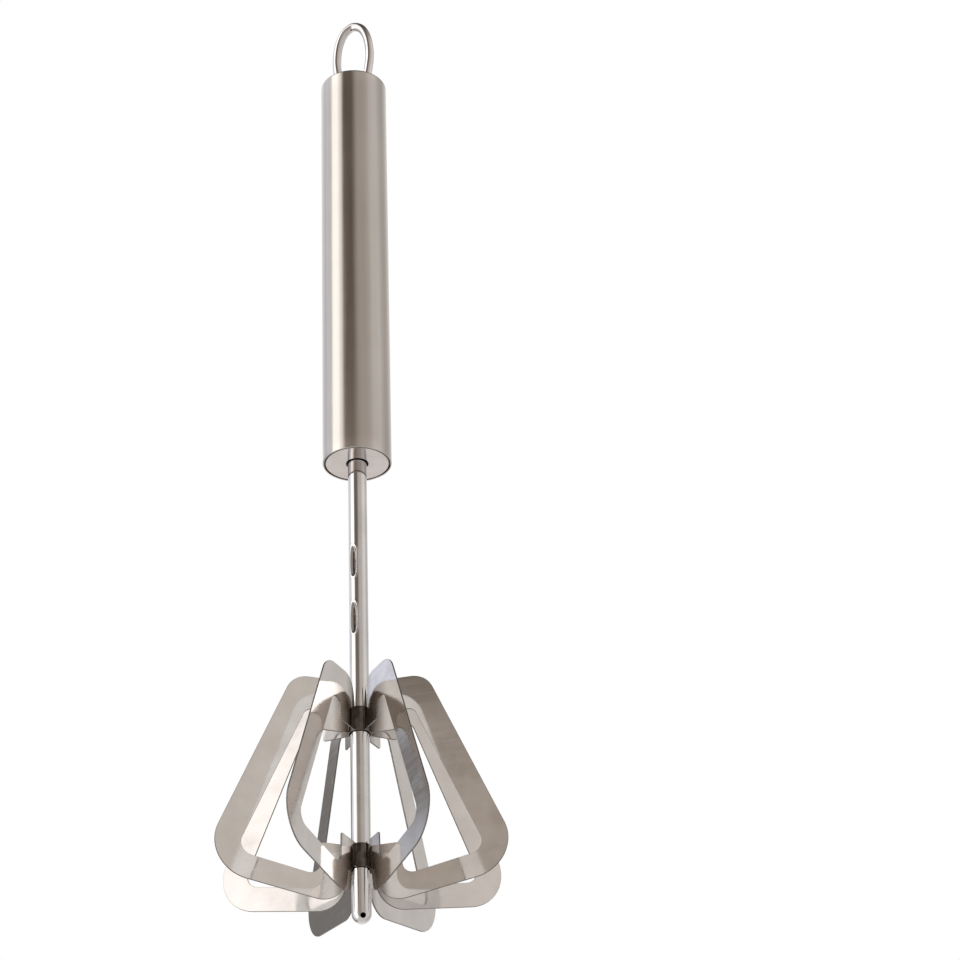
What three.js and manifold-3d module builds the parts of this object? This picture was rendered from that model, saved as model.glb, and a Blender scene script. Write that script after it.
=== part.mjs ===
// Push-down rotary whisk ("egg beater"): a tubular handle slides down over a spindle, a twisted strip
// inside turns the spindle, and eight sheet-metal leaves on the spindle do the beating.
// The spindle slides up to 60 mm into the handle, against a return spring.
// Millimetres. +Z runs up the spindle's axis, and the origin is at the bottom of the spindle's tip.

import * as THREE from 'three';
import { mergeVertices } from 'three/addons/utils/BufferGeometryUtils.js';
import Module from 'manifold-3d';

// ---------------------------------------------------------------- driving dimensions

const GAP = 0.3;                        // clearance between touching pieces

const TWIST_LEAD = 40;                  // strip length for one full turn

// spindle
const SPINDLE_RADIUS = 3;
const SPINDLE_WALL = 0.5;
const SPINDLE_TOP = 169;
const TIP_FLAT_RADIUS = 1.2;            // small flat that the whisk rests on
const DRAIN_HOLE_RADIUS = 0.85;
const DRAIN_HOLE_ANGLE = 10;            // degrees round from the front, -Y
const DRAIN_HOLE_DROP = 28;             // degrees below the rounded end's centre
const CRIMP_HEIGHTS = [101, 121];       // half a lead apart, so both face the strip's flats
const CRIMP_ANGLE = -32;                // degrees round from the front, -Y
const CRIMP_HALF_LENGTH = 5.8;
const CRIMP_HALF_WIDTH = 1.1;
const CRIMP_CENTRE = 3.3;               // distance of the dent's middle from the axis
const CRIMP_DEPTH = 2.05;               // from the dent's middle inwards

// twisted drive strip
const STRIP_WIDTH = 4.4;
const STRIP_THICKNESS = 1;
const STRIP_BOTTOM = 90;

// handle
const HANDLE_RADIUS = 11;
const HANDLE_WALL = 0.8;
const HANDLE_BOTTOM = 157.6;
const HANDLE_LENGTH = 149.2;
const CAP_FLANGE = 1.2;
const CAP_SKIRT = 8;
const CAP_WALL = 1;
const CAP_HOLE_CLEARANCE = 0.5;         // round the spindle
const BUSH_LENGTH = 6;
const ANCHOR_LENGTH = 12;
const PIN_RADIUS = 1;
const PIN_LENGTH = 17.6;

// hanging loop
const LOOP_WIRE_RADIUS = 1.5;
const LOOP_LEG_DEPTH = 7;
const LOOP_ANGLE = -25;                 // degrees that the loop's plane is turned about the axis
const LOOP_LEG_OFFSET = 4.4;            // wire centre to the handle's axis, where the legs leave the cap
// Right half of the wire's centre line: [distance from the axis, height above the cap].
const LOOP_SIDE = [
  [LOOP_LEG_OFFSET, -LOOP_LEG_DEPTH], [LOOP_LEG_OFFSET, 0], [5.6, 6.5], [6.2, 13], [5.2, 20.4], [3, 24.8],
];
const LOOP_CROWN = 26.3;

// spring, its seat and the stop collar
const SEAT_RADIUS = 8.6;
const SEAT_THICKNESS = 2;
const COLLAR_RADIUS = 6.5;
const COLLAR_THICKNESS = 4;
const SPRING_RADIUS = 6.2;              // wire centre
const SPRING_WIRE_RADIUS = 0.5;
const SPRING_TURNS = 15;

// whisk head
const SLEEVE_WALL = 0.45;
const SLEEVE_CLEARANCE = 0.2;
const UPPER_SLEEVE = [61.8, 69.9];      // bottom and top heights
const LOWER_SLEEVE = [16.7, 24.4];
const LEAF_THICKNESS = 0.5;
// Degrees round from the front, -Y, towards +X. They are hand-set, so the spacing is a little uneven.
const LEAF_ANGLES = { right: [26, 74, 111, 150], left: [-28, -72, -113, -159] };

// facets
const ROUND = 32;
const FINE_ROUND = 48;

// ---------------------------------------------------------------- derived dimensions

const HANDLE_TOP = HANDLE_BOTTOM + HANDLE_LENGTH;
const BORE_RADIUS = HANDLE_RADIUS - HANDLE_WALL;
const SPINDLE_BORE = SPINDLE_RADIUS - SPINDLE_WALL;
const INNER_FIT = BORE_RADIUS - GAP;
const SLEEVE_BORE = SPINDLE_RADIUS + SLEEVE_CLEARANCE;
const SLEEVE_RADIUS = SLEEVE_BORE + SLEEVE_WALL;
const LEAF_ROOT = SLEEVE_RADIUS + SLEEVE_CLEARANCE;
const BUSH_BOTTOM = HANDLE_BOTTOM + CAP_FLANGE + GAP;
const BUSH_TOP = BUSH_BOTTOM + BUSH_LENGTH;
const COLLAR_BOTTOM = BUSH_TOP + GAP;
const COLLAR_TOP = COLLAR_BOTTOM + COLLAR_THICKNESS;
const SEAT_BOTTOM = COLLAR_TOP + GAP;
const SEAT_TOP = SEAT_BOTTOM + SEAT_THICKNESS;
const ANCHOR_TOP = HANDLE_TOP - CAP_FLANGE - CAP_SKIRT - GAP;
const ANCHOR_BOTTOM = ANCHOR_TOP - ANCHOR_LENGTH;
const STRIP_TOP = ANCHOR_TOP;
const STRIP_STRAIGHT_FROM = ANCHOR_BOTTOM - 1;   // the end held in the anchor isn't twisted
const SPRING_BOTTOM = SEAT_TOP + GAP;
const SPRING_TOP = ANCHOR_BOTTOM - GAP;

// Leaf outline in its own plane: [radius, height, corner radius], clockwise from the upper tab.
const LEAF_CORNERS = [
  [LEAF_ROOT, UPPER_SLEEVE[0], 0],
  [LEAF_ROOT, UPPER_SLEEVE[1] + 0.5, 0],
  [5, 79.2, 5.5],
  [21.2, 79.2, 7.5],
  [50.6, 12.6, 12],
  [5.2, 4.6, 8],
  [4.4, LOWER_SLEEVE[0], 0],
  [LEAF_ROOT, LOWER_SLEEVE[0], 0],
  [LEAF_ROOT, LOWER_SLEEVE[1], 0],
  [12.5, LOWER_SLEEVE[1], 0.8],
  [12.9, 13.5, 3.5],
  [38.9, 18.6, 4],
  [17, 68.4, 3],
  [12.2, 68, 2.6],
  [12.2, UPPER_SLEEVE[0], 0.8],
];

// ---------------------------------------------------------------- finishes

const finish = (color, roughness, metalness) => new THREE.MeshStandardMaterial({ color, roughness, metalness });
const brushedSteel = finish(0xb5aca4, 0.38, 1);
const polishedSteel = finish(0xc9c5c2, 0.14, 1);
const leafSteel = finish(0xbdb4ae, 0.18, 1);
const springSteel = finish(0x8d8f93, 0.35, 1);
const stripSteel = finish(0xa7a9ac, 0.3, 1);
const blackNylon = finish(0x17171a, 0.55, 0);

// ---------------------------------------------------------------- solid modelling

const wasm = await Module();
wasm.setup();

function toSolid(geometry) {
  const bare = geometry.clone();
  bare.deleteAttribute('normal');
  bare.deleteAttribute('uv');
  const merged = mergeVertices(bare);
  const vertProperties = new Float32Array(merged.attributes.position.array);
  const triVerts = new Uint32Array(merged.index.array);
  return new wasm.Manifold(new wasm.Mesh({ numProp: 3, vertProperties, triVerts }));
}

function toGeometry(solid) {
  const mesh = solid.getMesh();
  const geometry = new THREE.BufferGeometry();
  geometry.setAttribute('position', new THREE.BufferAttribute(mesh.vertProperties, 3));
  geometry.setIndex(new THREE.BufferAttribute(mesh.triVerts, 1));
  geometry.computeVertexNormals();
  return geometry;
}

function cut(geometry, ...tools) {
  return toGeometry(tools.reduce((solid, tool) => solid.subtract(toSolid(tool)), toSolid(geometry)));
}

const turned = (profile, facets = ROUND) =>
  new THREE.LatheGeometry(profile.map(([r, z]) => new THREE.Vector2(r, z)), facets).rotateX(Math.PI / 2);

// A ring with a rectangular section, or a disc when inner is 0.
function ring(inner, outer, bottom, top, facets = ROUND) {
  const profile = [[inner, bottom], [outer, bottom], [outer, top], [inner, top]];
  if (inner > 0) profile.push([inner, bottom]);
  return turned(profile, facets);
}

const rod = (radius, length, facets = 16) =>
  new THREE.CylinderGeometry(radius, radius, length, facets).rotateX(Math.PI / 2);

// Turn about the axis that takes +X to an angle given in degrees from the front, -Y, towards +X.
const aroundAxis = (degrees) => THREE.MathUtils.degToRad(degrees - 90);

const model = new THREE.Group();

function addPart(name, geometry, material, parent = model) {
  const mesh = new THREE.Mesh(geometry, material);
  mesh.name = name;
  parent.add(mesh);
  return mesh;
}

// ---------------------------------------------------------------- handle

function handleTube() {
  const bottom = HANDLE_BOTTOM + CAP_FLANGE + GAP;
  const top = HANDLE_TOP - CAP_FLANGE - GAP;
  return ring(BORE_RADIUS, HANDLE_RADIUS, bottom, top, FINE_ROUND);
}

// A pressed cup: a flange the size of the tube, and a skirt that fits inside it.
function bottomCap() {
  const hole = SPINDLE_RADIUS + CAP_HOLE_CLEARANCE;
  const skirtInner = INNER_FIT - CAP_WALL;
  const flangeTop = HANDLE_BOTTOM + CAP_FLANGE;
  const skirtTop = flangeTop + CAP_SKIRT;
  return turned([
    [hole, HANDLE_BOTTOM], [HANDLE_RADIUS, HANDLE_BOTTOM], [HANDLE_RADIUS, flangeTop], [INNER_FIT, flangeTop],
    [INNER_FIT, skirtTop], [skirtInner, skirtTop], [skirtInner, flangeTop], [hole, flangeTop],
    [hole, HANDLE_BOTTOM],
  ], FINE_ROUND);
}

const guideBush = () => ring(SPINDLE_RADIUS + GAP, INNER_FIT - CAP_WALL - GAP, BUSH_BOTTOM, BUSH_TOP);

function topCap() {
  const flangeBottom = HANDLE_TOP - CAP_FLANGE;
  const skirtBottom = flangeBottom - CAP_SKIRT;
  const plug = turned([
    [0, skirtBottom], [INNER_FIT, skirtBottom], [INNER_FIT, flangeBottom], [HANDLE_RADIUS, flangeBottom],
    [HANDLE_RADIUS, HANDLE_TOP], [0, HANDLE_TOP],
  ], FINE_ROUND);
  const legHoles = [-1, 1].map((side) => rod(LOOP_WIRE_RADIUS + GAP, 2 * (LOOP_LEG_DEPTH + GAP))
    .translate(side * LOOP_LEG_OFFSET, 0, HANDLE_TOP)
    .rotateZ(THREE.MathUtils.degToRad(LOOP_ANGLE)));
  return cut(plug, ...legHoles);
}

// Round wire bent into an oval, with both ends set in the cap.
function hangingLoop() {
  const at = (side) => ([across, up]) => new THREE.Vector3(side * across, 0, HANDLE_TOP + up);
  const points = [...LOOP_SIDE.map(at(-1)), at(1)([0, LOOP_CROWN]), ...LOOP_SIDE.toReversed().map(at(1))];
  const section = new THREE.Shape().absarc(0, 0, LOOP_WIRE_RADIUS, 0, 2 * Math.PI);
  const extrudePath = new THREE.CatmullRomCurve3(points);
  return new THREE.ExtrudeGeometry(section, { extrudePath, steps: 48, curveSegments: 6 })
    .rotateZ(THREE.MathUtils.degToRad(LOOP_ANGLE));
}

// ---------------------------------------------------------------- drive

// Flat strip twisted about its own length; its flats face the crimps at both crimp heights.
function driveStrip() {
  const length = STRIP_TOP - STRIP_BOTTOM;
  const strip = new THREE.BoxGeometry(STRIP_WIDTH, STRIP_THICKNESS, length, 1, 1, Math.round(length / 2));
  strip.translate(0, 0, (STRIP_TOP + STRIP_BOTTOM) / 2);
  const spots = strip.attributes.position;
  const point = new THREE.Vector3();
  const up = new THREE.Vector3(0, 0, 1);
  for (let i = 0; i < spots.count; i++) {
    point.fromBufferAttribute(spots, i);
    point.applyAxisAngle(up, stripAngle(Math.min(point.z, STRIP_STRAIGHT_FROM)));
    spots.setXYZ(i, point.x, point.y, point.z);
  }
  return cut(strip, crossPin(PIN_RADIUS + GAP));
}

const stripAngle = (height) =>
  THREE.MathUtils.degToRad(CRIMP_ANGLE) + 2 * Math.PI * (height - CRIMP_HEIGHTS[0]) / TWIST_LEAD;

// The pin goes through the flats of the strip's straight end.
const crossPin = (radius) => new THREE.CylinderGeometry(radius, radius, PIN_LENGTH, 12)
  .rotateZ(stripAngle(STRIP_STRAIGHT_FROM))
  .translate(0, 0, (ANCHOR_TOP + ANCHOR_BOTTOM) / 2);

function stripAnchor() {
  const slot = new THREE.BoxGeometry(STRIP_WIDTH + 2 * GAP, STRIP_THICKNESS + 2 * GAP, 4 * ANCHOR_LENGTH)
    .rotateZ(stripAngle(STRIP_STRAIGHT_FROM))
    .translate(0, 0, ANCHOR_TOP);
  return cut(ring(0, INNER_FIT, ANCHOR_BOTTOM, ANCHOR_TOP), slot, crossPin(PIN_RADIUS + GAP));
}

class Helix extends THREE.Curve {
  getPoint(t, target = new THREE.Vector3()) {
    const angle = 2 * Math.PI * SPRING_TURNS * t;
    const low = SPRING_BOTTOM + SPRING_WIRE_RADIUS;
    const high = SPRING_TOP - SPRING_WIRE_RADIUS;
    return target.set(SPRING_RADIUS * Math.cos(angle), SPRING_RADIUS * Math.sin(angle), low + (high - low) * t);
  }
}

function returnSpring() {
  const section = new THREE.Shape().absarc(0, 0, SPRING_WIRE_RADIUS, 0, 2 * Math.PI);
  return new THREE.ExtrudeGeometry(section, {
    extrudePath: new Helix(), steps: SPRING_TURNS * 14, curveSegments: 3,
  });
}

const springSeat = () => ring(SPINDLE_RADIUS + GAP, SEAT_RADIUS, SEAT_BOTTOM, SEAT_TOP);

const stopCollar = () => ring(SPINDLE_RADIUS + GAP, COLLAR_RADIUS, COLLAR_BOTTOM, COLLAR_TOP);

// ---------------------------------------------------------------- spindle

function roundEnd(radius, centre, flat) {
  const points = [];
  for (let step = 0; step <= 6; step++) {
    const start = Math.asin(flat / radius);
    const angle = start + (Math.PI / 2 - start) * step / 6;
    points.push([radius * Math.sin(angle), centre - radius * Math.cos(angle)]);
  }
  return points;
}

// Both dents of a crimp; grow thickens them, to cut the bore so that the wall keeps its thickness.
function crimp(height, grow) {
  return [0, 180].map((turn) => new THREE.SphereGeometry(1, 24, 14)
    .scale(CRIMP_DEPTH + grow, CRIMP_HALF_WIDTH + grow, CRIMP_HALF_LENGTH + grow)
    .translate(CRIMP_CENTRE, 0, height)
    .rotateZ(aroundAxis(CRIMP_ANGLE + turn)));
}

// Thin tube, closed at the bottom by a rounded end with a drain hole, and crimped at two heights.
function spindleTube() {
  const flatDepth = Math.sqrt(SPINDLE_RADIUS ** 2 - TIP_FLAT_RADIUS ** 2);
  const outer = turned([[0, 0], ...roundEnd(SPINDLE_RADIUS, flatDepth, TIP_FLAT_RADIUS),
    [SPINDLE_RADIUS, SPINDLE_TOP], [0, SPINDLE_TOP]]);
  const bore = turned([[0, flatDepth - SPINDLE_BORE], ...roundEnd(SPINDLE_BORE, flatDepth, 0).slice(1),
    [SPINDLE_BORE, SPINDLE_TOP + 1], [0, SPINDLE_TOP + 1]]);
  const drain = new THREE.CylinderGeometry(DRAIN_HOLE_RADIUS, DRAIN_HOLE_RADIUS, SPINDLE_RADIUS, 12)
    .translate(0, -SPINDLE_RADIUS, 0)
    .rotateX(THREE.MathUtils.degToRad(DRAIN_HOLE_DROP))
    .rotateZ(THREE.MathUtils.degToRad(DRAIN_HOLE_ANGLE))
    .translate(0, 0, flatDepth);
  const shell = CRIMP_HEIGHTS.flatMap((height) => crimp(height, 0))
    .reduce((solid, dent) => solid.subtract(toSolid(dent)), toSolid(outer));
  const core = CRIMP_HEIGHTS.flatMap((height) => crimp(height, SPINDLE_WALL))
    .reduce((solid, dent) => solid.subtract(toSolid(dent)), toSolid(bore));
  return toGeometry(shell.subtract(core).subtract(toSolid(drain)));
}

// ---------------------------------------------------------------- whisk head

const sleeve = ([bottom, top]) => ring(SLEEVE_BORE, SLEEVE_RADIUS, bottom, top);

// Closed outline through corners [x, y, radius], each rounded by an arc tangent to both its sides.
function roundedOutline(corners, stepsPerCorner = 6) {
  const outline = [];
  corners.forEach(([x, y, radius], i) => {
    const corner = new THREE.Vector2(x, y);
    if (radius === 0) {
      outline.push(corner);
      return;
    }
    const before = corners[(i + corners.length - 1) % corners.length];
    const after = corners[(i + 1) % corners.length];
    const back = new THREE.Vector2(before[0], before[1]).sub(corner).normalize();
    const ahead = new THREE.Vector2(after[0], after[1]).sub(corner).normalize();
    const halfAngle = Math.acos(back.dot(ahead)) / 2;
    const centre = back.clone().add(ahead).normalize().multiplyScalar(radius / Math.sin(halfAngle)).add(corner);
    const first = back.clone().multiplyScalar(radius / Math.tan(halfAngle)).add(corner).sub(centre);
    const sweep = (Math.PI - 2 * halfAngle) * Math.sign(back.cross(ahead)) * -1;
    for (let step = 0; step <= stepsPerCorner; step++) {
      outline.push(first.clone().rotateAround(new THREE.Vector2(), sweep * step / stepsPerCorner).add(centre));
    }
  });
  return new THREE.Shape(outline);
}

const leafGeometry = new THREE.ExtrudeGeometry(roundedOutline(LEAF_CORNERS), {
  depth: LEAF_THICKNESS, bevelEnabled: false,
}).translate(0, 0, -LEAF_THICKNESS / 2).rotateX(Math.PI / 2);

// ---------------------------------------------------------------- assembly

const handle = new THREE.Group();
addPart('handle_tube', handleTube(), brushedSteel, handle);
addPart('bottom_cap', bottomCap(), polishedSteel, handle);
addPart('guide_bush', guideBush(), blackNylon, handle);
addPart('top_cap', topCap(), polishedSteel, handle);
addPart('hanging_loop', hangingLoop(), polishedSteel, handle);
addPart('strip_anchor', stripAnchor(), blackNylon, handle);
addPart('anchor_pin', crossPin(PIN_RADIUS), springSteel, handle);
addPart('drive_strip', driveStrip(), stripSteel, handle);
addPart('return_spring', returnSpring(), springSteel, handle);

const carriage = new THREE.Group();
addPart('spring_seat', springSeat(), blackNylon, carriage);

const spinner = new THREE.Group();
addPart('stop_collar', stopCollar(), blackNylon, spinner);
addPart('spindle_tube', spindleTube(), polishedSteel, spinner);
addPart('upper_sleeve', sleeve(UPPER_SLEEVE), polishedSteel, spinner);
addPart('lower_sleeve', sleeve(LOWER_SLEEVE), polishedSteel, spinner);
for (const [side, angles] of Object.entries(LEAF_ANGLES)) {
  angles.forEach((angle, i) => {
    addPart(`${side}_leaf_${i + 1}`, leafGeometry, leafSteel, spinner).rotation.z = aroundAxis(angle);
  });
}

model.add(handle, carriage, spinner);

export default model;
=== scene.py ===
import math

import bmesh
import bpy
from mathutils import Matrix, Vector


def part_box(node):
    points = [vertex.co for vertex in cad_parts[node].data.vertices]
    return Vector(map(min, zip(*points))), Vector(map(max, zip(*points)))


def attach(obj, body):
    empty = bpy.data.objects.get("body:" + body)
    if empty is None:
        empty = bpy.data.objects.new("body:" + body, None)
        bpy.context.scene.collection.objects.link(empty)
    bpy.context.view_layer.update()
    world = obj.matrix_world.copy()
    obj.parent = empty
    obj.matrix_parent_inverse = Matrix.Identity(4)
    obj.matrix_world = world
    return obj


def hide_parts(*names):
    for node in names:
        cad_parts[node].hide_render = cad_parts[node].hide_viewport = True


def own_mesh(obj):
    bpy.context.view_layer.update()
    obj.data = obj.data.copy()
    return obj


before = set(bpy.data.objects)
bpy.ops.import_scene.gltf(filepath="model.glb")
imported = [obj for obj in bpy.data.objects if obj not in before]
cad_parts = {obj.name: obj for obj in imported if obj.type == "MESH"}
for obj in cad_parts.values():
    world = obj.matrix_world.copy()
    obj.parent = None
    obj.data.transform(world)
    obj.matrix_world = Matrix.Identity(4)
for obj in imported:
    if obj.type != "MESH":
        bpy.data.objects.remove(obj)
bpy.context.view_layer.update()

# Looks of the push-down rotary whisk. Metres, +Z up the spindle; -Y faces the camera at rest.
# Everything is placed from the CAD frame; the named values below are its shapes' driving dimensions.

MM = 0.001

# ---------------------------------------------------------------- driving dimensions

# handle
HANDLE_WALL = 0.8 * MM
RIM_WALL = 0.4 * MM                     # the tube's end is opened out for the disc
RIM_DEPTH = 1.3 * MM
RIM_ROUNDING = 0.16 * MM
TOP_ROUNDING = 1.0 * MM
DISC_RECESS = 0.1 * MM                  # bottom disc, set inside the tube's end
DISC_THICKNESS = 0.9 * MM
DISC_GROOVE = 0.14 * MM                 # between the disc's edge and the tube
DISC_EDGE_ROUNDING = 0.6 * MM
DISC_PAINTED_SHADE_EDGE = 0.45 * MM              # width of the disc's edge given painted shade: the dark edge colour
SPINDLE_HOLE = 3.55 * MM
HOLE_ROUNDING = 0.2 * MM
CAP_FIT = 0.1 * MM                      # between either cap and the tube's bore
SKIRT_WALL = 0.8 * MM
BUSH_FIT = 0.12 * MM                    # between the bush and the spindle
BUSH_SETBACK = 0.02 * MM                # between the bush and the disc
BUSH_BORE_ROUNDING = 0.15 * MM
BUSH_BACK_ROUNDING = 0.3 * MM
TOP_CAP_FIT = 0.2 * MM                  # between the top cap and the tube's turned-in lip
TOP_CAP_RECESS = 0.15 * MM
TOP_CAP_CHAMFER = 0.2 * MM

# hanging loop; LOOP_SIDE is the right half of the wire's centre line, up to the crown, as (distance from the
# axis, height above the handle) in millimetres
LOOP_WIRE = 1.5 * MM
LOOP_TURN = math.radians(-25)
LOOP_SIDE = [(4.4, -7), (4.4, 0), (5.6, 6.5), (6.2, 13), (5.2, 20.4), (3, 24.8)]
LOOP_CROWN = 26.3
LOOP_SOCKET_GAP = 0.12 * MM
LOOP_SOCKET_BELOW = 0.3 * MM            # the sockets go this much deeper than the wire
LOOP_SOCKET_ABOVE = 2 * MM

# spindle
SPINDLE_RADIUS = 3 * MM
SPINDLE_WALL = 0.5 * MM
TIP_FLAT = 1.2 * MM
WALL_START = 1 * MM                     # first straight row, above the rounded end
DRAIN_RADIUS = 0.85 * MM
DRAIN_ANGLE = math.radians(10)
DRAIN_DROP = math.radians(28)
CRIMP_HEIGHTS = (101 * MM, 121 * MM)
CRIMP_TURNS = (math.radians(-32), math.radians(148))
CRIMP_HALF_LENGTH = 5.6 * MM
CRIMP_HALF_WIDTH = 1.2 * MM
CRIMP_DEPTH = 1.6 * MM
CRIMP_STEP = 0.16 * MM                  # distance between the mesh's rows at a crimp
CRIMP_ROWS_REACH = 1.2                  # the close rows go on this many half-lengths from the dent's middle
CRIMP_LIP = 0.03 * MM
CRIMP_RIM = 0.9                         # how far the raised lip goes on round the dent

# sleeves and leaves
SLEEVE_BORE = 3.3 * MM
SLEEVE_RADIUS = 3.65 * MM
SLEEVE_BORE_ROUNDING = 0.08 * MM
SLEEVE_ROUNDING = 0.15 * MM
LEAF_ROOT = 3.55 * MM
LEAF_THICKNESS = 0.5 * MM
LEAF_EDGE_BEVEL = 0.09 * MM
LEAF_TURNS = {"right": (26, 74, 111, 150), "left": (-28, -72, -113, -159)}
WELD_RADIUS = 0.2 * MM
WELD_INSET = 0.5 * MM                   # from each end of the sleeve
WELD_STEPS = 24
WELD_WOBBLE = 0.03 * MM
WELD_WOBBLE_RATE = 5.1                  # radians for each step along a bead
WELD_WOBBLE_SHIFT = 40                  # radians for each radian round, so that no two beads are the same
WELD_STANDOFF = 0.02 * MM

# spring
SPRING_RADIUS = 6.2 * MM
SPRING_WIRE = 0.5 * MM
SPRING_TURNS = 15
SPRING_CLOSED_TURNS = 1.2               # coils that lie close together at each end
SPRING_CLOSED_GAP = 1.02                # rise of a closed coil, in wire thicknesses
SPRING_STEPS = 36

# camera, from a least-squares fit to the object's outline, in which lens and distance trade off
CAMERA_PLACE = (0, -0.9264, -0.3932)
CAMERA_LENS = 126.6
CAMERA_PITCH = 0.5310
CAMERA_YAW = 0.0421
CAMERA_ROLL = -0.0312
FLOOR_HEIGHT = -0.62

# ---------------------------------------------------------------- geometry


def direction(turn, tilt=0.0):
    """Unit vector at an angle round from the front, -Y, towards +X, and below the horizon by tilt."""
    return Vector((math.sin(turn) * math.cos(tilt), -math.cos(turn) * math.cos(tilt), -math.sin(tilt)))


def rounded(corners, steps=8):
    """Closed outline through corners (x, y, radius), each rounded by an arc tangent to both its sides."""
    outline = []
    for i, (x, y, radius) in enumerate(corners):
        corner = Vector((x, y))
        if radius == 0:
            outline.append(corner)
            continue
        back = (Vector(corners[i - 1][:2]) - corner).normalized()
        ahead = (Vector(corners[(i + 1) % len(corners)][:2]) - corner).normalized()
        half = back.angle(ahead) / 2
        centre = corner + (back + ahead).normalized() * (radius / math.sin(half))
        first = corner + back * (radius / math.tan(half)) - centre
        arc = -math.copysign(math.pi - 2 * half, back.x * ahead.y - back.y * ahead.x)
        for step in range(steps + 1):
            outline.append(centre + Matrix.Rotation(arc * step / steps, 2) @ first)
    return outline


def lathe(profile, segments=128, closed=True, shape=None):
    """Solid of revolution of (radius, height) points; shape(radius, turn, height) may dent it."""
    mesh = bmesh.new()
    rings = []
    for radius, height in profile:
        if radius < 1e-9:
            rings.append([mesh.verts.new((0, 0, height))])
            continue
        ring = []
        for k in range(segments):
            turn = 2 * math.pi * k / segments
            dented = shape(radius, turn, height) if shape else radius
            ring.append(mesh.verts.new(direction(turn) * dented + Vector((0, 0, height))))
        rings.append(ring)
    pairs = list(zip(rings, rings[1:]))
    if closed:
        pairs.append((rings[-1], rings[0]))
    for low, high in pairs:
        for k in range(segments):
            after = (k + 1) % segments
            corners = [low[k % len(low)], low[after % len(low)], high[after % len(high)], high[k % len(high)]]
            face = list(dict.fromkeys(corners))
            if len(face) > 2:
                mesh.faces.new(face)
    bmesh.ops.recalc_face_normals(mesh, faces=mesh.faces)
    return mesh


def sweep(points, radius, sides=20):
    """Round bar along a list of points, closed at both ends."""
    mesh = bmesh.new()
    across = None
    rings = []
    for i, point in enumerate(points):
        ahead = (points[min(i + 1, len(points) - 1)] - points[max(i - 1, 0)]).normalized()
        if across is None:
            across = ahead.orthogonal()
        across = (across - ahead * across.dot(ahead)).normalized()
        up = ahead.cross(across)
        angles = [2 * math.pi * k / sides for k in range(sides)]
        ring = [point + (across * math.cos(a) + up * math.sin(a)) * radius for a in angles]
        rings.append([mesh.verts.new(corner) for corner in ring])
    for low, high in zip(rings, rings[1:]):
        for k in range(sides):
            after = (k + 1) % sides
            mesh.faces.new((low[k], low[after], high[after], high[k]))
    mesh.faces.new(rings[0][::-1])
    mesh.faces.new(rings[-1])
    bmesh.ops.recalc_face_normals(mesh, faces=mesh.faces)
    return mesh


def catmull_rom(points, steps=14):
    """Centripetal spline through the points."""
    ends = [points[0] * 2 - points[1], *points, points[-1] * 2 - points[-2]]
    path = []
    for p0, p1, p2, p3 in zip(ends, ends[1:], ends[2:], ends[3:]):
        t1 = (p1 - p0).length ** 0.5
        t2 = t1 + (p2 - p1).length ** 0.5
        t3 = t2 + (p3 - p2).length ** 0.5
        for step in range(steps):
            t = t1 + (t2 - t1) * step / steps
            a1 = p0.lerp(p1, t / t1)
            a2 = p1.lerp(p2, (t - t1) / (t2 - t1))
            a3 = p2.lerp(p3, (t - t2) / (t3 - t2))
            b1 = a1.lerp(a2, t / t2)
            b2 = a2.lerp(a3, (t - t1) / (t3 - t1))
            path.append(b1.lerp(b2, (t - t1) / (t2 - t1)))
    path.append(points[-1])
    return path


def plate(outline, thickness, bevel):
    """Sheet in the XZ plane with rounded edges. Faces of the edge have material index 1."""
    mesh = bmesh.new()
    front = [mesh.verts.new((p.x, -thickness / 2, p.y)) for p in outline]
    back = [mesh.verts.new((p.x, thickness / 2, p.y)) for p in outline]
    sides = [mesh.faces.new(front), mesh.faces.new(back[::-1])]
    for i in range(len(outline)):
        after = (i + 1) % len(outline)
        rim = mesh.faces.new((front[i], front[after], back[after], back[i]))
        rim.material_index = 1
    border = {edge for face in sides for edge in face.edges}
    bmesh.ops.recalc_face_normals(mesh, faces=mesh.faces)
    rounding = {"offset": bevel, "segments": 2, "profile": 0.5, "affect": "EDGES"}
    bmesh.ops.bevel(mesh, geom=list(border), material=1, **rounding)
    return mesh


def as_object(name, mesh, materials, sharp_angle=35):
    """Smooth-shaded object; edges between faces that meet at more than sharp_angle degrees stay sharp."""
    data = bpy.data.meshes.new(name)
    mesh.to_mesh(data)
    mesh.free()
    for material in materials:
        data.materials.append(material)
    data.shade_smooth()
    data.set_sharp_from_angle(angle=math.radians(sharp_angle))
    piece = bpy.data.objects.new(name, data)
    bpy.context.scene.collection.objects.link(piece)
    return piece


def add_piece(name, mesh, materials, body, slot, *replaced, sharp_angle=35):
    """Put a mesh or a finished object on a body; where nodes are named, it stands for them."""
    piece = mesh if isinstance(mesh, bpy.types.Object) else as_object(name, mesh, materials, sharp_angle)
    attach(piece, body)
    if replaced:
        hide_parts(*replaced)
    return piece


def subtract(piece, *cutters, sharp_angle=35):
    """Cut other objects out of a piece, and remove those objects."""
    for cutter in cutters:
        modifier = piece.modifiers.new("cut", "BOOLEAN")
        modifier.operation = "DIFFERENCE"
        modifier.solver = "EXACT"
        modifier.object = cutter
    bpy.context.view_layer.update()
    shown = piece.evaluated_get(bpy.context.evaluated_depsgraph_get())
    result = bpy.data.meshes.new_from_object(shown)
    piece.modifiers.clear()
    piece.data = result
    result.set_sharp_from_angle(angle=math.radians(sharp_angle))
    for cutter in cutters:
        bpy.data.objects.remove(cutter)
    return piece


# ---------------------------------------------------------------- materials


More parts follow.
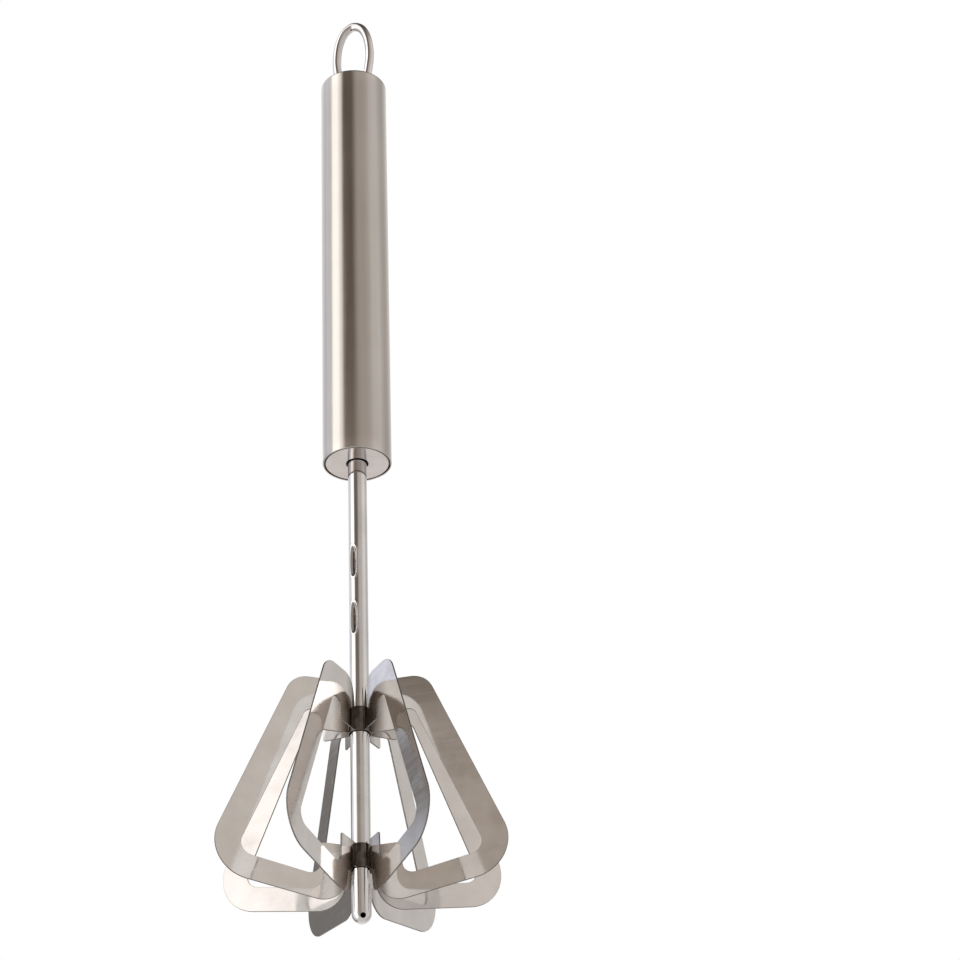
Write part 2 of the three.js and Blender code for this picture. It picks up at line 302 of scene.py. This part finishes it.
class Nodes:
    """Short ways to build one material's nodes."""

    def __init__(self, name, **shader_values):
        self.material = bpy.data.materials.new(name)
        self.material.use_nodes = True
        self.tree = self.material.node_tree
        self.shader = self.tree.nodes["Principled BSDF"]
        for socket, value in shader_values.items():
            self.shader.inputs[socket.replace("_", " ")].default_value = value
        self.place = self.tree.nodes.new("ShaderNodeTexCoord").outputs["Object"]

    def node(self, kind, **properties):
        made = self.tree.nodes.new(kind)
        for key, value in properties.items():
            setattr(made, key, value)
        return made

    def link(self, source, target):
        self.tree.links.new(source, target)

    def stretched(self, scale):
        """Object coordinates times a scale for each axis."""
        mapping = self.node("ShaderNodeMapping")
        mapping.inputs["Scale"].default_value = scale
        self.link(self.place, mapping.inputs["Vector"])
        return mapping.outputs["Vector"]

    def noise(self, scale, detail=3.0, roughness=0.55, stretch=(1, 1, 1)):
        made = self.node("ShaderNodeTexNoise")
        made.inputs["Scale"].default_value = scale
        made.inputs["Detail"].default_value = detail
        made.inputs["Roughness"].default_value = roughness
        self.link(self.stretched(stretch), made.inputs["Vector"])
        return made.outputs["Fac"]

    def remap(self, source, low, high, start=0.0, end=1.0):
        """Take low..high to start..end, clamped."""
        made = self.node("ShaderNodeMapRange")
        for socket, value in zip(("From Min", "From Max", "To Min", "To Max"), (low, high, start, end)):
            made.inputs[socket].default_value = value
        self.link(source, made.inputs["Value"])
        return made.outputs["Result"]

    def math(self, operation, *sources):
        made = self.node("ShaderNodeMath", operation=operation)
        for socket, source in zip(made.inputs, sources):
            if isinstance(source, (int, float)):
                socket.default_value = source
            else:
                self.link(source, socket)
        return made.outputs[0]

    def mix(self, factor, first, second):
        """Blend two colours, or a colour and another output, by a factor."""
        made = self.node("ShaderNodeMix", data_type="RGBA")
        self.link(factor, made.inputs["Factor"])
        for socket, colour in ((made.inputs[6], first), (made.inputs[7], second)):
            if isinstance(colour, tuple):
                socket.default_value = (*colour, 1)
            else:
                self.link(colour, socket)
        return made.outputs[2]

    def axis_distance(self):
        """Distance from the spindle's axis, and height."""
        parts = self.node("ShaderNodeSeparateXYZ")
        self.link(self.place, parts.inputs[0])
        x, y, z = parts.outputs
        flat = self.math("ADD", self.math("MULTIPLY", x, x), self.math("MULTIPLY", y, y))
        return self.math("SQRT", flat), z

    def bump(self, *layers):
        """Stack of (height output, height in metres) layers, on the shader's normal."""
        normal = None
        for height, distance in layers:
            made = self.node("ShaderNodeBump")
            made.inputs["Strength"].default_value = 1
            made.inputs["Distance"].default_value = distance
            self.link(height, made.inputs["Height"])
            if normal is not None:
                self.link(normal, made.inputs["Normal"])
            normal = made.outputs["Normal"]
        self.link(normal, self.shader.inputs["Normal"])

    def set(self, socket, source):
        self.link(source, self.shader.inputs[socket])


def brushed_steel():
    """Satin tube: fine grain along its length, faint rings from polishing, brighter scuffs at its ends."""
    m = Nodes("brushed_handle_steel", Metallic=1.0)
    grain = m.noise(700, 4, 0.6, (1, 1, 0.02))
    lathe_marks = m.noise(420, 2, 0.5, (0.04, 0.04, 1))
    cloud = m.noise(45, 3)
    tone = m.math("ADD", m.remap(grain, 0.3, 0.7, 0.0, 0.6), m.remap(cloud, 0.35, 0.65, 0.0, 0.4))
    steel = m.mix(tone, (0.47, 0.437, 0.405), (0.54, 0.503, 0.467))
    low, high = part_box("handle_tube")
    _, height = m.axis_distance()
    from_ends = m.math("MINIMUM", m.math("SUBTRACT", height, low.z), m.math("SUBTRACT", high.z, height))
    scuffed = m.math("MULTIPLY", m.remap(from_ends, 0.0, 5 * MM, 1.0, 0.0), m.remap(cloud, 0.4, 0.6))
    m.set("Base Color", m.mix(scuffed, steel, (0.60, 0.56, 0.53)))
    dullness = m.remap(cloud, 0.3, 0.7, 0.0, 0.05)
    m.set("Roughness", m.math("ADD", m.remap(grain, 0.3, 0.7, 0.13, 0.2), dullness))
    m.bump((grain, 1.2e-6), (lathe_marks, 0.8e-6))
    return m.material


def polished_steel(name="polished_steel", colour=(0.70, 0.685, 0.675), stretch=(1, 1, 0.03), crimps=False):
    """Mirror steel with drawing lines along Z and smudges; a crimp's walls are dark with painted shade."""
    m = Nodes(name, Metallic=1.0)
    lines = m.noise(600, 3, 0.6, stretch)
    smudge = m.noise(90, 3)
    darker = tuple(0.86 * c for c in colour)
    steel = m.mix(m.remap(smudge, 0.35, 0.7), colour, darker)
    if crimps:
        # Painted shade: a darker steel colour on the crimps' steep walls, inside the dents.
        distance, height = m.axis_distance()
        below_rim = m.remap(distance, 2.90 * MM, 2.72 * MM)
        above_floor = m.remap(distance, 1.6 * MM, 2.1 * MM)
        above_tip = m.remap(height, CRIMP_HEIGHTS[0] - 12 * MM, CRIMP_HEIGHTS[0] - 11 * MM)
        wall = m.math("MULTIPLY", m.math("MULTIPLY", below_rim, above_floor), above_tip)
        steel = m.mix(wall, steel, (0.36, 0.34, 0.325))
    m.set("Base Color", steel)
    dullness = m.remap(smudge, 0.5, 0.75, 0.0, 0.08)
    m.set("Roughness", m.math("ADD", m.remap(lines, 0.3, 0.7, 0.05, 0.10), dullness))
    m.bump((lines, 0.8e-6), (m.noise(60, 2), 8e-6))
    return m.material


def turned_steel():
    """Bottom disc and top cap: polished, with fine turned rings round the axis."""
    m = Nodes("turned_disc_steel", Metallic=1.0)
    distance, _ = m.axis_distance()
    rings = m.node("ShaderNodeTexNoise", noise_dimensions="1D")
    rings.inputs["Scale"].default_value = 1
    rings.inputs["Detail"].default_value = 3
    m.link(m.math("MULTIPLY", distance, 5200), rings.inputs["W"])
    smudge = m.noise(160, 3)
    m.set("Base Color", m.mix(m.remap(smudge, 0.35, 0.7), (0.60, 0.56, 0.55), (0.53, 0.49, 0.475)))
    m.set("Roughness", m.remap(rings.outputs["Fac"], 0.3, 0.7, 0.07, 0.15))
    m.bump((rings.outputs["Fac"], 0.7e-6))
    return m.material


def leaf_steel():
    """Bright rolled sheet: faint rolling lines, slow waves, finger marks, and heat colour near the welds."""
    m = Nodes("leaf_steel", Metallic=1.0)
    rolled = m.noise(900, 3, 0.6, (0.05, 0.05, 1))
    waves = m.noise(28, 1.5)
    smudge = m.noise(120, 4)
    distance, _ = m.axis_distance()
    steel = m.mix(m.remap(smudge, 0.35, 0.7), (0.80, 0.775, 0.755), (0.72, 0.69, 0.665))
    near_weld = m.remap(distance, 4.2 * MM, 9.0 * MM, 1.0, 0.0)
    heated = m.math("MULTIPLY", near_weld, m.remap(smudge, 0.3, 0.6, 0.7, 1))
    m.set("Base Color", m.mix(heated, steel, (0.17, 0.135, 0.11)))
    dullness = m.remap(smudge, 0.5, 0.75, 0.0, 0.07)
    m.set("Roughness", m.math("ADD", m.remap(rolled, 0.3, 0.7, 0.05, 0.10), dullness))
    m.bump((rolled, 0.6e-6), (waves, 2.2e-4))
    return m.material


def sheared_edge():
    """Blanked edge of the sheet, duller and darker than its faces; on the bottom disc's rounded edge this
    dark colour is painted shade.
    """
    m = Nodes("sheared_edge_and_painted_shade_steel", Metallic=1.0)
    tear = m.noise(1500, 4, 0.7)
    # Where this goes on the bottom disc's edge, the dark colour is painted shade.
    m.set("Base Color", m.mix(m.remap(tear, 0.35, 0.65), (0.13, 0.12, 0.11), (0.27, 0.25, 0.235)))
    m.set("Roughness", m.remap(tear, 0.3, 0.7, 0.28, 0.45))
    m.bump((tear, 6e-6))
    return m.material


def welded_steel():
    """Sleeves and weld beads: heat colour, darkened to near black as painted shade for the sleeves in the
    groove between the leaves.
    """
    m = Nodes("heat_marked_and_painted_shade_steel", Metallic=1.0)
    ripple = m.noise(1400, 3, 0.6)
    cloud = m.noise(300, 3)
    # Partly heat colour and partly painted shade: far darker than heat colour alone, so the sleeves look
    # black between the leaves.
    m.set("Base Color", m.mix(m.remap(cloud, 0.4, 0.65), (0.09, 0.075, 0.065), (0.18, 0.16, 0.145)))
    m.set("Roughness", m.remap(ripple, 0.3, 0.7, 0.08, 0.2))
    m.bump((ripple, 2e-6))
    return m.material


def drawn_steel(name, colour, roughness):
    """Inner steel parts: duller, with lines along Z and an oily bloom."""
    m = Nodes(name, Metallic=1.0)
    lines = m.noise(900, 4, 0.65, (1, 1, 0.1))
    bloom = m.noise(140, 3)
    darker = tuple(0.7 * c for c in colour)
    m.set("Base Color", m.mix(m.remap(bloom, 0.35, 0.7), colour, darker))
    m.set("Roughness", m.remap(lines, 0.3, 0.7, roughness - 0.06, roughness + 0.08))
    m.bump((lines, 3e-6))
    return m.material


def black_nylon():
    """Moulded black nylon: fine grain and faint flow marks."""
    m = Nodes("black_nylon", Metallic=0.0)
    grain = m.noise(2400, 3, 0.6)
    flow = m.noise(180, 3, 0.5, (1, 1, 3))
    m.set("Base Color", m.mix(m.remap(flow, 0.4, 0.75), (0.012, 0.012, 0.013), (0.035, 0.034, 0.035)))
    m.set("Roughness", m.remap(grain, 0.3, 0.7, 0.42, 0.6))
    m.bump((grain, 6e-6))
    return m.material


def pale_floor():
    """Matte near-white board."""
    m = Nodes("pale_floor", Metallic=0.0)
    grain = m.noise(60, 4)
    m.set("Base Color", m.mix(m.remap(grain, 0.3, 0.7), (0.80, 0.79, 0.78), (0.84, 0.83, 0.82)))
    m.set("Roughness", m.remap(grain, 0.3, 0.7, 0.55, 0.7))
    m.bump((grain, 1e-4))
    return m.material


BRUSHED = brushed_steel()
POLISHED = polished_steel(crimps=True)
WIRE = polished_steel("loop_wire_steel", (0.72, 0.70, 0.69), (1, 1, 0.2))
DISC = turned_steel()
LEAF = leaf_steel()
EDGE = sheared_edge()
WELDED = welded_steel()
SPRING = drawn_steel("spring_steel", (0.50, 0.51, 0.53), 0.3)
STRIP = drawn_steel("strip_steel", (0.58, 0.59, 0.60), 0.26)
NYLON = black_nylon()

# ---------------------------------------------------------------- handle

bottom_cap_low, bottom_cap_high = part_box("bottom_cap")
top_cap_low, top_cap_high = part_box("top_cap")
HANDLE_BOTTOM = bottom_cap_low.z
HANDLE_TOP = top_cap_high.z
HANDLE_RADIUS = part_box("handle_tube")[1].x
HANDLE_BORE = HANDLE_RADIUS - HANDLE_WALL


def handle_tube():
    """Tube with a turned-in lip at the top, opened out at the bottom to take the disc."""
    outer, inner = HANDLE_RADIUS, HANDLE_BORE
    opened = HANDLE_RADIUS - RIM_WALL
    profile = rounded([
        (opened, HANDLE_BOTTOM, RIM_ROUNDING), (outer, HANDLE_BOTTOM, RIM_ROUNDING),
        (outer, HANDLE_TOP, TOP_ROUNDING), (inner - TOP_ROUNDING, HANDLE_TOP, 0),
        (inner - TOP_ROUNDING, HANDLE_TOP - HANDLE_WALL, 0), (inner, HANDLE_TOP - 2 * HANDLE_WALL, 0),
        (inner, HANDLE_BOTTOM + RIM_DEPTH, 0), (opened, HANDLE_BOTTOM + RIM_DEPTH, 0),
    ])
    mesh = lathe(profile, 192)
    add_piece("handle_tube_shell", mesh, [BRUSHED], "handle", "brushed_handle_steel", "handle_tube")


def bottom_cap():
    """Pressed cup: a flat disc just inside the tube's end, with a rounded edge and a skirt up the bore."""
    face = HANDLE_BOTTOM + DISC_RECESS
    back = face + DISC_THICKNESS
    edge = HANDLE_RADIUS - RIM_WALL - DISC_GROOVE
    outer_skirt = HANDLE_BORE - CAP_FIT
    inner_skirt = outer_skirt - SKIRT_WALL
    profile = rounded([
        (SPINDLE_HOLE, face, HOLE_ROUNDING), (edge, face, DISC_EDGE_ROUNDING), (edge, back, 0),
        (outer_skirt, back, 0), (outer_skirt, bottom_cap_high.z, 0), (inner_skirt, bottom_cap_high.z, 0),
        (inner_skirt, back, 0), (SPINDLE_HOLE, back, 0),
    ])
    mesh = lathe(profile, 192)
    # Painted shade: the faces round the disc's outer edge take the dark edge material, for the dark line at
    # its rim.
    for part in mesh.faces:
        middle = part.calc_center_median()
        if middle.xy.length > edge - DISC_PAINTED_SHADE_EDGE and middle.z < back:
            part.material_index = 1
    add_piece("bottom_cap_disc", mesh, [DISC, EDGE], "handle", "polished_steel", "bottom_cap")


def guide_bush():
    _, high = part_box("guide_bush")
    face = HANDLE_BOTTOM + DISC_RECESS + DISC_THICKNESS + BUSH_SETBACK
    bore = SPINDLE_RADIUS + BUSH_FIT
    profile = rounded([
        (bore, face, BUSH_BORE_ROUNDING), (high.x, face, 0),
        (high.x, high.z, BUSH_BACK_ROUNDING), (bore, high.z, BUSH_BORE_ROUNDING),
    ], 4)
    add_piece("guide_bush_ring", lathe(profile, 96), [NYLON], "handle", "black_nylon", "guide_bush")


def top_cap():
    """Plug under the tube's lip, with a raised face inside the lip and two sockets for the loop's wire."""
    edge = HANDLE_BORE - CAP_FIT
    under_lip = HANDLE_TOP - 2.4 * HANDLE_WALL
    face = edge - TOP_ROUNDING - TOP_CAP_FIT
    top = HANDLE_TOP - TOP_CAP_RECESS
    profile = [(0, top_cap_low.z), (edge, top_cap_low.z), (edge, under_lip), (face, under_lip)]
    profile += [(face, top - TOP_CAP_CHAMFER), (face - TOP_CAP_CHAMFER, top), (0, top)]
    cap = as_object("top_cap_plug", lathe(profile, 128, closed=False), [DISC])
    sockets = []
    across, wire_end = LOOP_SIDE[0]
    bottom = HANDLE_TOP + wire_end * MM - LOOP_SOCKET_BELOW
    for side in (-1, 1):
        place = Matrix.Rotation(LOOP_TURN, 3, "Z") @ Vector((side * across * MM, 0, 0))
        ends = [place + Vector((0, 0, height)) for height in (bottom, HANDLE_TOP + LOOP_SOCKET_ABOVE)]
        sockets.append(as_object("socket", sweep(ends, LOOP_WIRE + LOOP_SOCKET_GAP, 32), []))
    subtract(cap, *sockets)
    add_piece("top_cap_plug", cap, None, "handle", "polished_steel", "top_cap")


def hanging_loop():
    """Round wire bent into an oval, both ends set in the cap."""
    right = [Vector((across * MM, 0, HANDLE_TOP + up * MM)) for across, up in LOOP_SIDE]
    left = [Vector((-p.x, 0, p.z)) for p in right]
    path = catmull_rom([*left, Vector((0, 0, HANDLE_TOP + LOOP_CROWN * MM)), *right[::-1]])
    turn = Matrix.Rotation(LOOP_TURN, 3, "Z")
    wire = sweep([turn @ point for point in path], LOOP_WIRE, 32)
    add_piece("hanging_loop_wire", wire, [WIRE], "handle", "polished_steel", "hanging_loop")


def return_spring():
    """Helical spring with closed ends, made at one length and carried by the handle; the real spring shortens
    from its lower end as the spindle comes up, and this one doesn't.
    """
    low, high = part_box("return_spring")
    bottom, top = low.z + SPRING_WIRE, high.z - SPRING_WIRE
    closed_rise = 2 * SPRING_WIRE * SPRING_CLOSED_GAP
    open_turns = SPRING_TURNS - 2 * SPRING_CLOSED_TURNS
    open_rise = (top - bottom - 2 * SPRING_CLOSED_TURNS * closed_rise) / open_turns
    path = []
    height = bottom
    for step in range(SPRING_TURNS * SPRING_STEPS + 1):
        turns = step / SPRING_STEPS
        path.append(direction(2 * math.pi * turns) * SPRING_RADIUS + Vector((0, 0, height)))
        at_end = min(turns, SPRING_TURNS - turns) < SPRING_CLOSED_TURNS
        height += (closed_rise if at_end else open_rise) / SPRING_STEPS
    coil = as_object("return_spring_coil", sweep(path, SPRING_WIRE, 10), [SPRING])
    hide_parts("return_spring")
    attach(coil, "handle")
    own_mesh(coil)


# ---------------------------------------------------------------- spindle


def crimped(radius, turn, height):
    """Radius of the tube's wall where a punch has pressed it in; both walls follow the same dent."""
    deepest = 0.0
    for centre in CRIMP_HEIGHTS:
        for crimp_turn in CRIMP_TURNS:
            across = (turn - crimp_turn + math.pi) % (2 * math.pi) - math.pi
            if abs(across) > 1:
                continue
            width = SPINDLE_RADIUS * math.sin(across) / CRIMP_HALF_WIDTH
            length = (height - centre) / CRIMP_HALF_LENGTH
            inside = 1 - width ** 2 - length ** 4
            if inside > 0:
                deepest = max(deepest, CRIMP_DEPTH * inside ** 1.2)
            elif inside > -CRIMP_RIM:
                deepest = min(deepest, -CRIMP_LIP * math.sin(math.pi * -inside / CRIMP_RIM))
    return radius - deepest


def round_end(radius, centre, flat, steps=14):
    """Quarter circle down to a small flat, as (radius, height) points."""
    start = math.asin(flat / radius)
    angles = [start + (math.pi / 2 - start) * step / steps for step in range(steps + 1)]
    return [(radius * math.sin(a), centre - radius * math.cos(a)) for a in angles]


def spindle_rows(bottom, top):
    """Heights up a wall: close together only at the crimps."""
    rows = [bottom]
    for centre in CRIMP_HEIGHTS:
        count = round(2 * CRIMP_ROWS_REACH * CRIMP_HALF_LENGTH / CRIMP_STEP)
        rows += [centre + CRIMP_STEP * (k - count / 2) for k in range(count + 1)]
    return [*rows, top]


def spindle_tube():
    """Thin tube with two pairs of crimps, and a rounded closed end with a drain hole through its wall."""
    low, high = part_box("spindle_tube")
    bore = SPINDLE_RADIUS - SPINDLE_WALL
    centre = low.z + math.sqrt(SPINDLE_RADIUS ** 2 - TIP_FLAT ** 2)
    outer = [(0, low.z), *round_end(SPINDLE_RADIUS, centre, TIP_FLAT)]
    outer += [(SPINDLE_RADIUS, z) for z in spindle_rows(centre + WALL_START, high.z)]
    inner = [(0, centre - bore), *round_end(bore, centre, 0)[1:]]
    inner += [(bore, z) for z in spindle_rows(centre + WALL_START, high.z)]
    mesh = lathe([*outer, *inner[::-1]], 240, closed=False, shape=crimped)
    tube = as_object("spindle", mesh, [POLISHED])
    out = direction(DRAIN_ANGLE, DRAIN_DROP)
    middle = Vector((0, 0, centre))
    through_wall = [middle + out * bore * 0.6, middle + out * (SPINDLE_RADIUS + 1 * MM)]
    drain = as_object("drain", sweep(through_wall, DRAIN_RADIUS, 32), [])
    subtract(tube, drain, sharp_angle=60)
    add_piece("spindle", tube, None, "spinner", "polished_steel", "spindle_tube")


# ---------------------------------------------------------------- whisk head


def sleeve(name):
    """Collar on the spindle; gives back the heights of its two ends."""
    low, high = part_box(name)
    profile = rounded([
        (SLEEVE_BORE, low.z, SLEEVE_BORE_ROUNDING), (SLEEVE_RADIUS, low.z, SLEEVE_ROUNDING),
        (SLEEVE_RADIUS, high.z, SLEEVE_ROUNDING), (SLEEVE_BORE, high.z, SLEEVE_BORE_ROUNDING),
    ], 4)
    # The sleeve's near-black colour is partly painted shade.
    add_piece(name + "_ring", lathe(profile, 96), [WELDED], "spinner", "polished_steel", name)
    return low.z, high.z


def leaf_corners(upper, lower):
    """Outline in the leaf's own plane: (distance from the axis, height, corner radius), in metres."""
    root = LEAF_ROOT / MM
    upper_bottom, upper_top = (height / MM for height in upper)
    lower_bottom, lower_top = (height / MM for height in lower)
    outside = [
        (root, upper_bottom, 0), (root, upper_top + 0.5, 0), (5, 79.2, 5.5), (21.2, 79.2, 7.5),
        (50.5, 12.6, 12), (5.2, 4.6, 8), (4.4, lower_bottom, 0), (root, lower_bottom, 0),
    ]
    window = [
        (root, lower_top, 0), (12.5, lower_top, 0.8), (12.9, 13.5, 3.5), (38.9, 18.6, 4),
        (17, 68.4, 3), (12.2, 68, 2.6), (12.2, upper_bottom, 0.8),
    ]
    return [tuple(value * MM for value in corner) for corner in outside + window]


def weld_beads(turns, upper, lower):
    """A small fillet down each side of every leaf's root, at both sleeves, as one piece."""
    beads = bmesh.new()
    for turn in turns:
        for bottom, top in (upper, lower):
            for side in (-1, 1):
                foot = direction(turn) * (SLEEVE_RADIUS + WELD_STANDOFF)
                foot += direction(turn + math.pi / 2) * side * LEAF_THICKNESS * 0.6
                rise = (top - bottom - 2 * WELD_INSET) / WELD_STEPS
                path = []
                for k in range(WELD_STEPS + 1):
                    wobble = math.sin(WELD_WOBBLE_RATE * k + WELD_WOBBLE_SHIFT * turn) * WELD_WOBBLE
                    height = bottom + WELD_INSET + rise * k
                    path.append(foot + direction(turn) * wobble + Vector((0, 0, height)))
                part = sweep(path, WELD_RADIUS, 10)
                data = bpy.data.meshes.new("bead")
                part.to_mesh(data)
                part.free()
                beads.from_mesh(data)
                bpy.data.meshes.remove(data)
    add_piece("weld_beads", beads, [WELDED], "spinner", "leaf_steel")


def whisk_head():
    upper = sleeve("upper_sleeve")
    lower = sleeve("lower_sleeve")
    outline = rounded(leaf_corners(upper, lower), 14)
    turns = []
    for side, degrees in LEAF_TURNS.items():
        for i, degree in enumerate(degrees, 1):
            node = f"{side}_leaf_{i}"
            mesh = plate(outline, LEAF_THICKNESS, LEAF_EDGE_BEVEL)
            turn = math.radians(degree)
            mesh.transform(Matrix.Rotation(turn - math.pi / 2, 4, "Z"))
            add_piece(node + "_sheet", mesh, [LEAF, EDGE], "spinner", "leaf_steel", node, sharp_angle=12)
            turns.append(turn)
    weld_beads(turns, upper, lower)


# ---------------------------------------------------------------- inner CAD parts

INNER_FINISHES = {
    "strip_anchor": NYLON, "anchor_pin": SPRING, "drive_strip": STRIP,
    "spring_seat": NYLON, "stop_collar": NYLON,
}


def finish_inner_parts():
    """The CAD nodes inside the handle are shown as they are, with these materials."""
    for name, material in INNER_FINISHES.items():
        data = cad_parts[name].data
        data.materials.clear()
        data.materials.append(material)


# ---------------------------------------------------------------- studio

# Walls round the object, tuned so that what the steel reflects in the main view matches the real object:
# (degrees round from the camera's side, towards +X, tone, warmth)
WALLS = [
    (-180, 0.42, 0.06), (-152, 0.46, 0.02), (-136, 0.38, -0.10), (-124, 0.34, -0.22), (-112, 0.44, -0.08),
    (-97, 0.40, 0.00), (-89, 0.40, 0.00), (-86, 0.90, 0.00), (-62, 0.90, 0.02), (-53, 0.62, 0.05),
    (-47, 0.58, 0.07), (-43, 0.24, 0.16), (-34, 0.20, 0.22), (-14, 0.17, 0.24), (0, 0.22, 0.20),
    (12, 0.26, 0.16), (42, 0.28, 0.13), (60, 0.38, 0.06), (88, 0.39, 0.04), (104, 0.29, 0.05),
    (124, 0.27, 0.07), (150, 0.38, 0.05), (180, 0.42, 0.06),
]
# Dark screens on the walls: degrees round with the share covered, then the heights of the unit rays that just
# meet the lower and upper edge, how soft the edges are, and warmth.
SCREEN_TONE = 0.085
SCREEN_EDGE = 0.4446
SCREENS = [
    # hangs in front
    ([(-44, 0), (-40, 1), (-8, 1), (6, 0)], SCREEN_EDGE, 2, 0.002, 0.3),
    # stands behind on the left
    ([(-156, 0), (-150, 1), (-136, 1), (-133, 0)], -2, SCREEN_EDGE, 0.006, 0.08),
    # hangs beside that one, clear of the ground, with half shade under it
    ([(-136, 0), (-133, 1), (-124, 1), (-119, 0)], 0.418, SCREEN_EDGE, 0.006, 0.08),
    ([(-136, 0), (-133, 0.5), (-124, 0.5), (-119, 0)], -2, 0.418, 0.006, 0.08),
]
GROUND_TONE = 0.36
GROUND_WARMTH = 0.03
GROUND_RAYS = (-0.6, -0.85)             # heights of the unit rays where wall turns to ground
CEILING_TONE = 0.04
CEILING_RAYS = (0.72, 0.95)
WALL_STRENGTH = 2.3
FLOOR_LIGHT_PLACE = (0.3, -0.4, 1.4)
FLOOR_LIGHT_SIZE = 1.6
FLOOR_LIGHT_WATTS = 60
SKY_STRENGTH = 1.5
SKY_SPREAD = math.radians(50)
FLOOR_HALF_WIDTH = 20


def wall_colour(tone, warmth):
    """Warm walls lean to orange, cool ones to lilac."""
    green = 0.55 if warmth > 0 else 0.2
    return (tone, tone * (1 - green * warmth), tone * (1 - warmth), 1)


def world_node(kind, inputs=(), **properties):
    """Add a node to the world and link or set its inputs, given by name or number."""
    tree = bpy.context.scene.world.node_tree
    made = tree.nodes.new(kind)
    for key, value in properties.items():
        setattr(made, key, value)
    for socket, value in dict(inputs).items():
        if isinstance(value, bpy.types.NodeSocket):
            tree.links.new(value, made.inputs[socket])
        else:
            made.inputs[socket].default_value = value
    return made


def world_ramp(share, stops):
    """Colours at given degrees round, from the share of the way round."""
    ramp = world_node("ShaderNodeValToRGB", {"Fac": share})
    elements = ramp.color_ramp.elements
    while len(elements) < len(stops):
        elements.new(0.5)
    for element, (degrees, colour) in zip(elements, stops):
        element.position = 0.5 + degrees / 360
        element.color = colour
    return ramp.outputs["Color"]


def studio_walls():
    """Soft surroundings that the steel reflects; the camera itself sees plain white."""
    bpy.context.scene.world = bpy.data.worlds.new("studio")
    bpy.context.scene.world.use_nodes = True
    bpy.context.scene.world.node_tree.nodes.clear()
    ray = world_node("ShaderNodeTexCoord").outputs["Generated"]
    x, y, z = world_node("ShaderNodeSeparateXYZ", {0: ray}).outputs
    front = world_node("ShaderNodeMath", {0: y, 1: -1.0}, operation="MULTIPLY").outputs[0]
    turn = world_node("ShaderNodeMath", {0: x, 1: front}, operation="ARCTAN2").outputs[0]
    ends = {"From Min": -math.pi, "From Max": math.pi}
    share = world_node("ShaderNodeMapRange", {"Value": turn, **ends}).outputs["Result"]
    walls = world_ramp(share, [(degrees, wall_colour(tone, warmth)) for degrees, tone, warmth in WALLS])
    for screen, bottom, top, softness, warmth in SCREENS:
        dark = world_ramp(share, [(degrees, (part, part, part, 1)) for degrees, part in screen])
        for edge, inwards in ((bottom, softness), (top, -softness)):
            ends = {"From Min": edge - inwards, "From Max": edge + inwards}
            inside = world_node("ShaderNodeMapRange", {"Value": z, **ends}).outputs["Result"]
            dark = world_node("ShaderNodeMath", {0: dark, 1: inside}, operation="MULTIPLY").outputs[0]
        colour = wall_colour(SCREEN_TONE, warmth)
        walls = world_node("ShaderNodeMix", {0: dark, 6: walls, 7: colour}, data_type="RGBA").outputs[2]
    for rays, tone, warmth in ((GROUND_RAYS, GROUND_TONE, GROUND_WARMTH), (CEILING_RAYS, CEILING_TONE, 0)):
        ends = {"From Min": rays[0], "From Max": rays[1]}
        past = world_node("ShaderNodeMapRange", {"Value": z, **ends}).outputs["Result"]
        colour = wall_colour(tone, warmth)
        walls = world_node("ShaderNodeMix", {0: past, 6: walls, 7: colour}, data_type="RGBA").outputs[2]
    reflected = world_node("ShaderNodeBackground", {"Color": walls, "Strength": WALL_STRENGTH}).outputs[0]
    plain = world_node("ShaderNodeBackground", {"Color": (1, 1, 1, 1)}).outputs[0]
    seen = world_node("ShaderNodeLightPath").outputs["Is Camera Ray"]
    shown = world_node("ShaderNodeMixShader", {0: seen, 1: reflected, 2: plain}).outputs[0]
    world_node("ShaderNodeOutputWorld", {"Surface": shown})


def add_lamp(data):
    """Lamps light the floor only: the steel reflects the walls instead."""
    lamp = bpy.data.objects.new(data.name, data)
    lamp.visible_camera = False
    lamp.visible_glossy = False
    bpy.context.scene.collection.objects.link(lamp)
    return lamp


def studio_lights():
    overhead = bpy.data.lights.new("overhead", "AREA")
    overhead.size = FLOOR_LIGHT_SIZE
    overhead.energy = FLOOR_LIGHT_WATTS
    lamp = add_lamp(overhead)
    lamp.location = FLOOR_LIGHT_PLACE
    aim = Vector((0, 0, FLOOR_HEIGHT)) - Vector(FLOOR_LIGHT_PLACE)
    lamp.rotation_euler = aim.to_track_quat("-Z", "Y").to_euler()
    sky = bpy.data.lights.new("sky", "SUN")
    sky.energy = SKY_STRENGTH
    sky.angle = SKY_SPREAD
    add_lamp(sky)


def studio_floor():
    """Seen by the camera in views from above; the steel doesn't reflect it."""
    mesh = bmesh.new()
    bmesh.ops.create_grid(mesh, x_segments=4, y_segments=4, size=FLOOR_HALF_WIDTH)
    mesh.transform(Matrix.Translation((0, 0, FLOOR_HEIGHT)))
    floor = as_object("floor", mesh, [pale_floor()])
    floor.visible_glossy = False


def camera():
    data = bpy.data.cameras.new("camera")
    data.lens = CAMERA_LENS
    data.sensor_width = 36
    data.clip_start = 0.05
    data.clip_end = 100
    eye = bpy.data.objects.new("camera", data)
    aim = Matrix.Rotation(-CAMERA_YAW, 4, "Z") @ Matrix.Rotation(math.pi / 2 + CAMERA_PITCH, 4, "X")
    eye.matrix_world = Matrix.Translation(CAMERA_PLACE) @ aim @ Matrix.Rotation(CAMERA_ROLL, 4, "Z")
    bpy.context.scene.collection.objects.link(eye)
    bpy.context.scene.camera = eye


camera()
studio_walls()
studio_floor()
studio_lights()
bpy.context.scene.view_settings.view_transform = "Standard"

handle_tube()
bottom_cap()
guide_bush()
top_cap()
hanging_loop()
return_spring()
spindle_tube()
whisk_head()
finish_inner_parts()
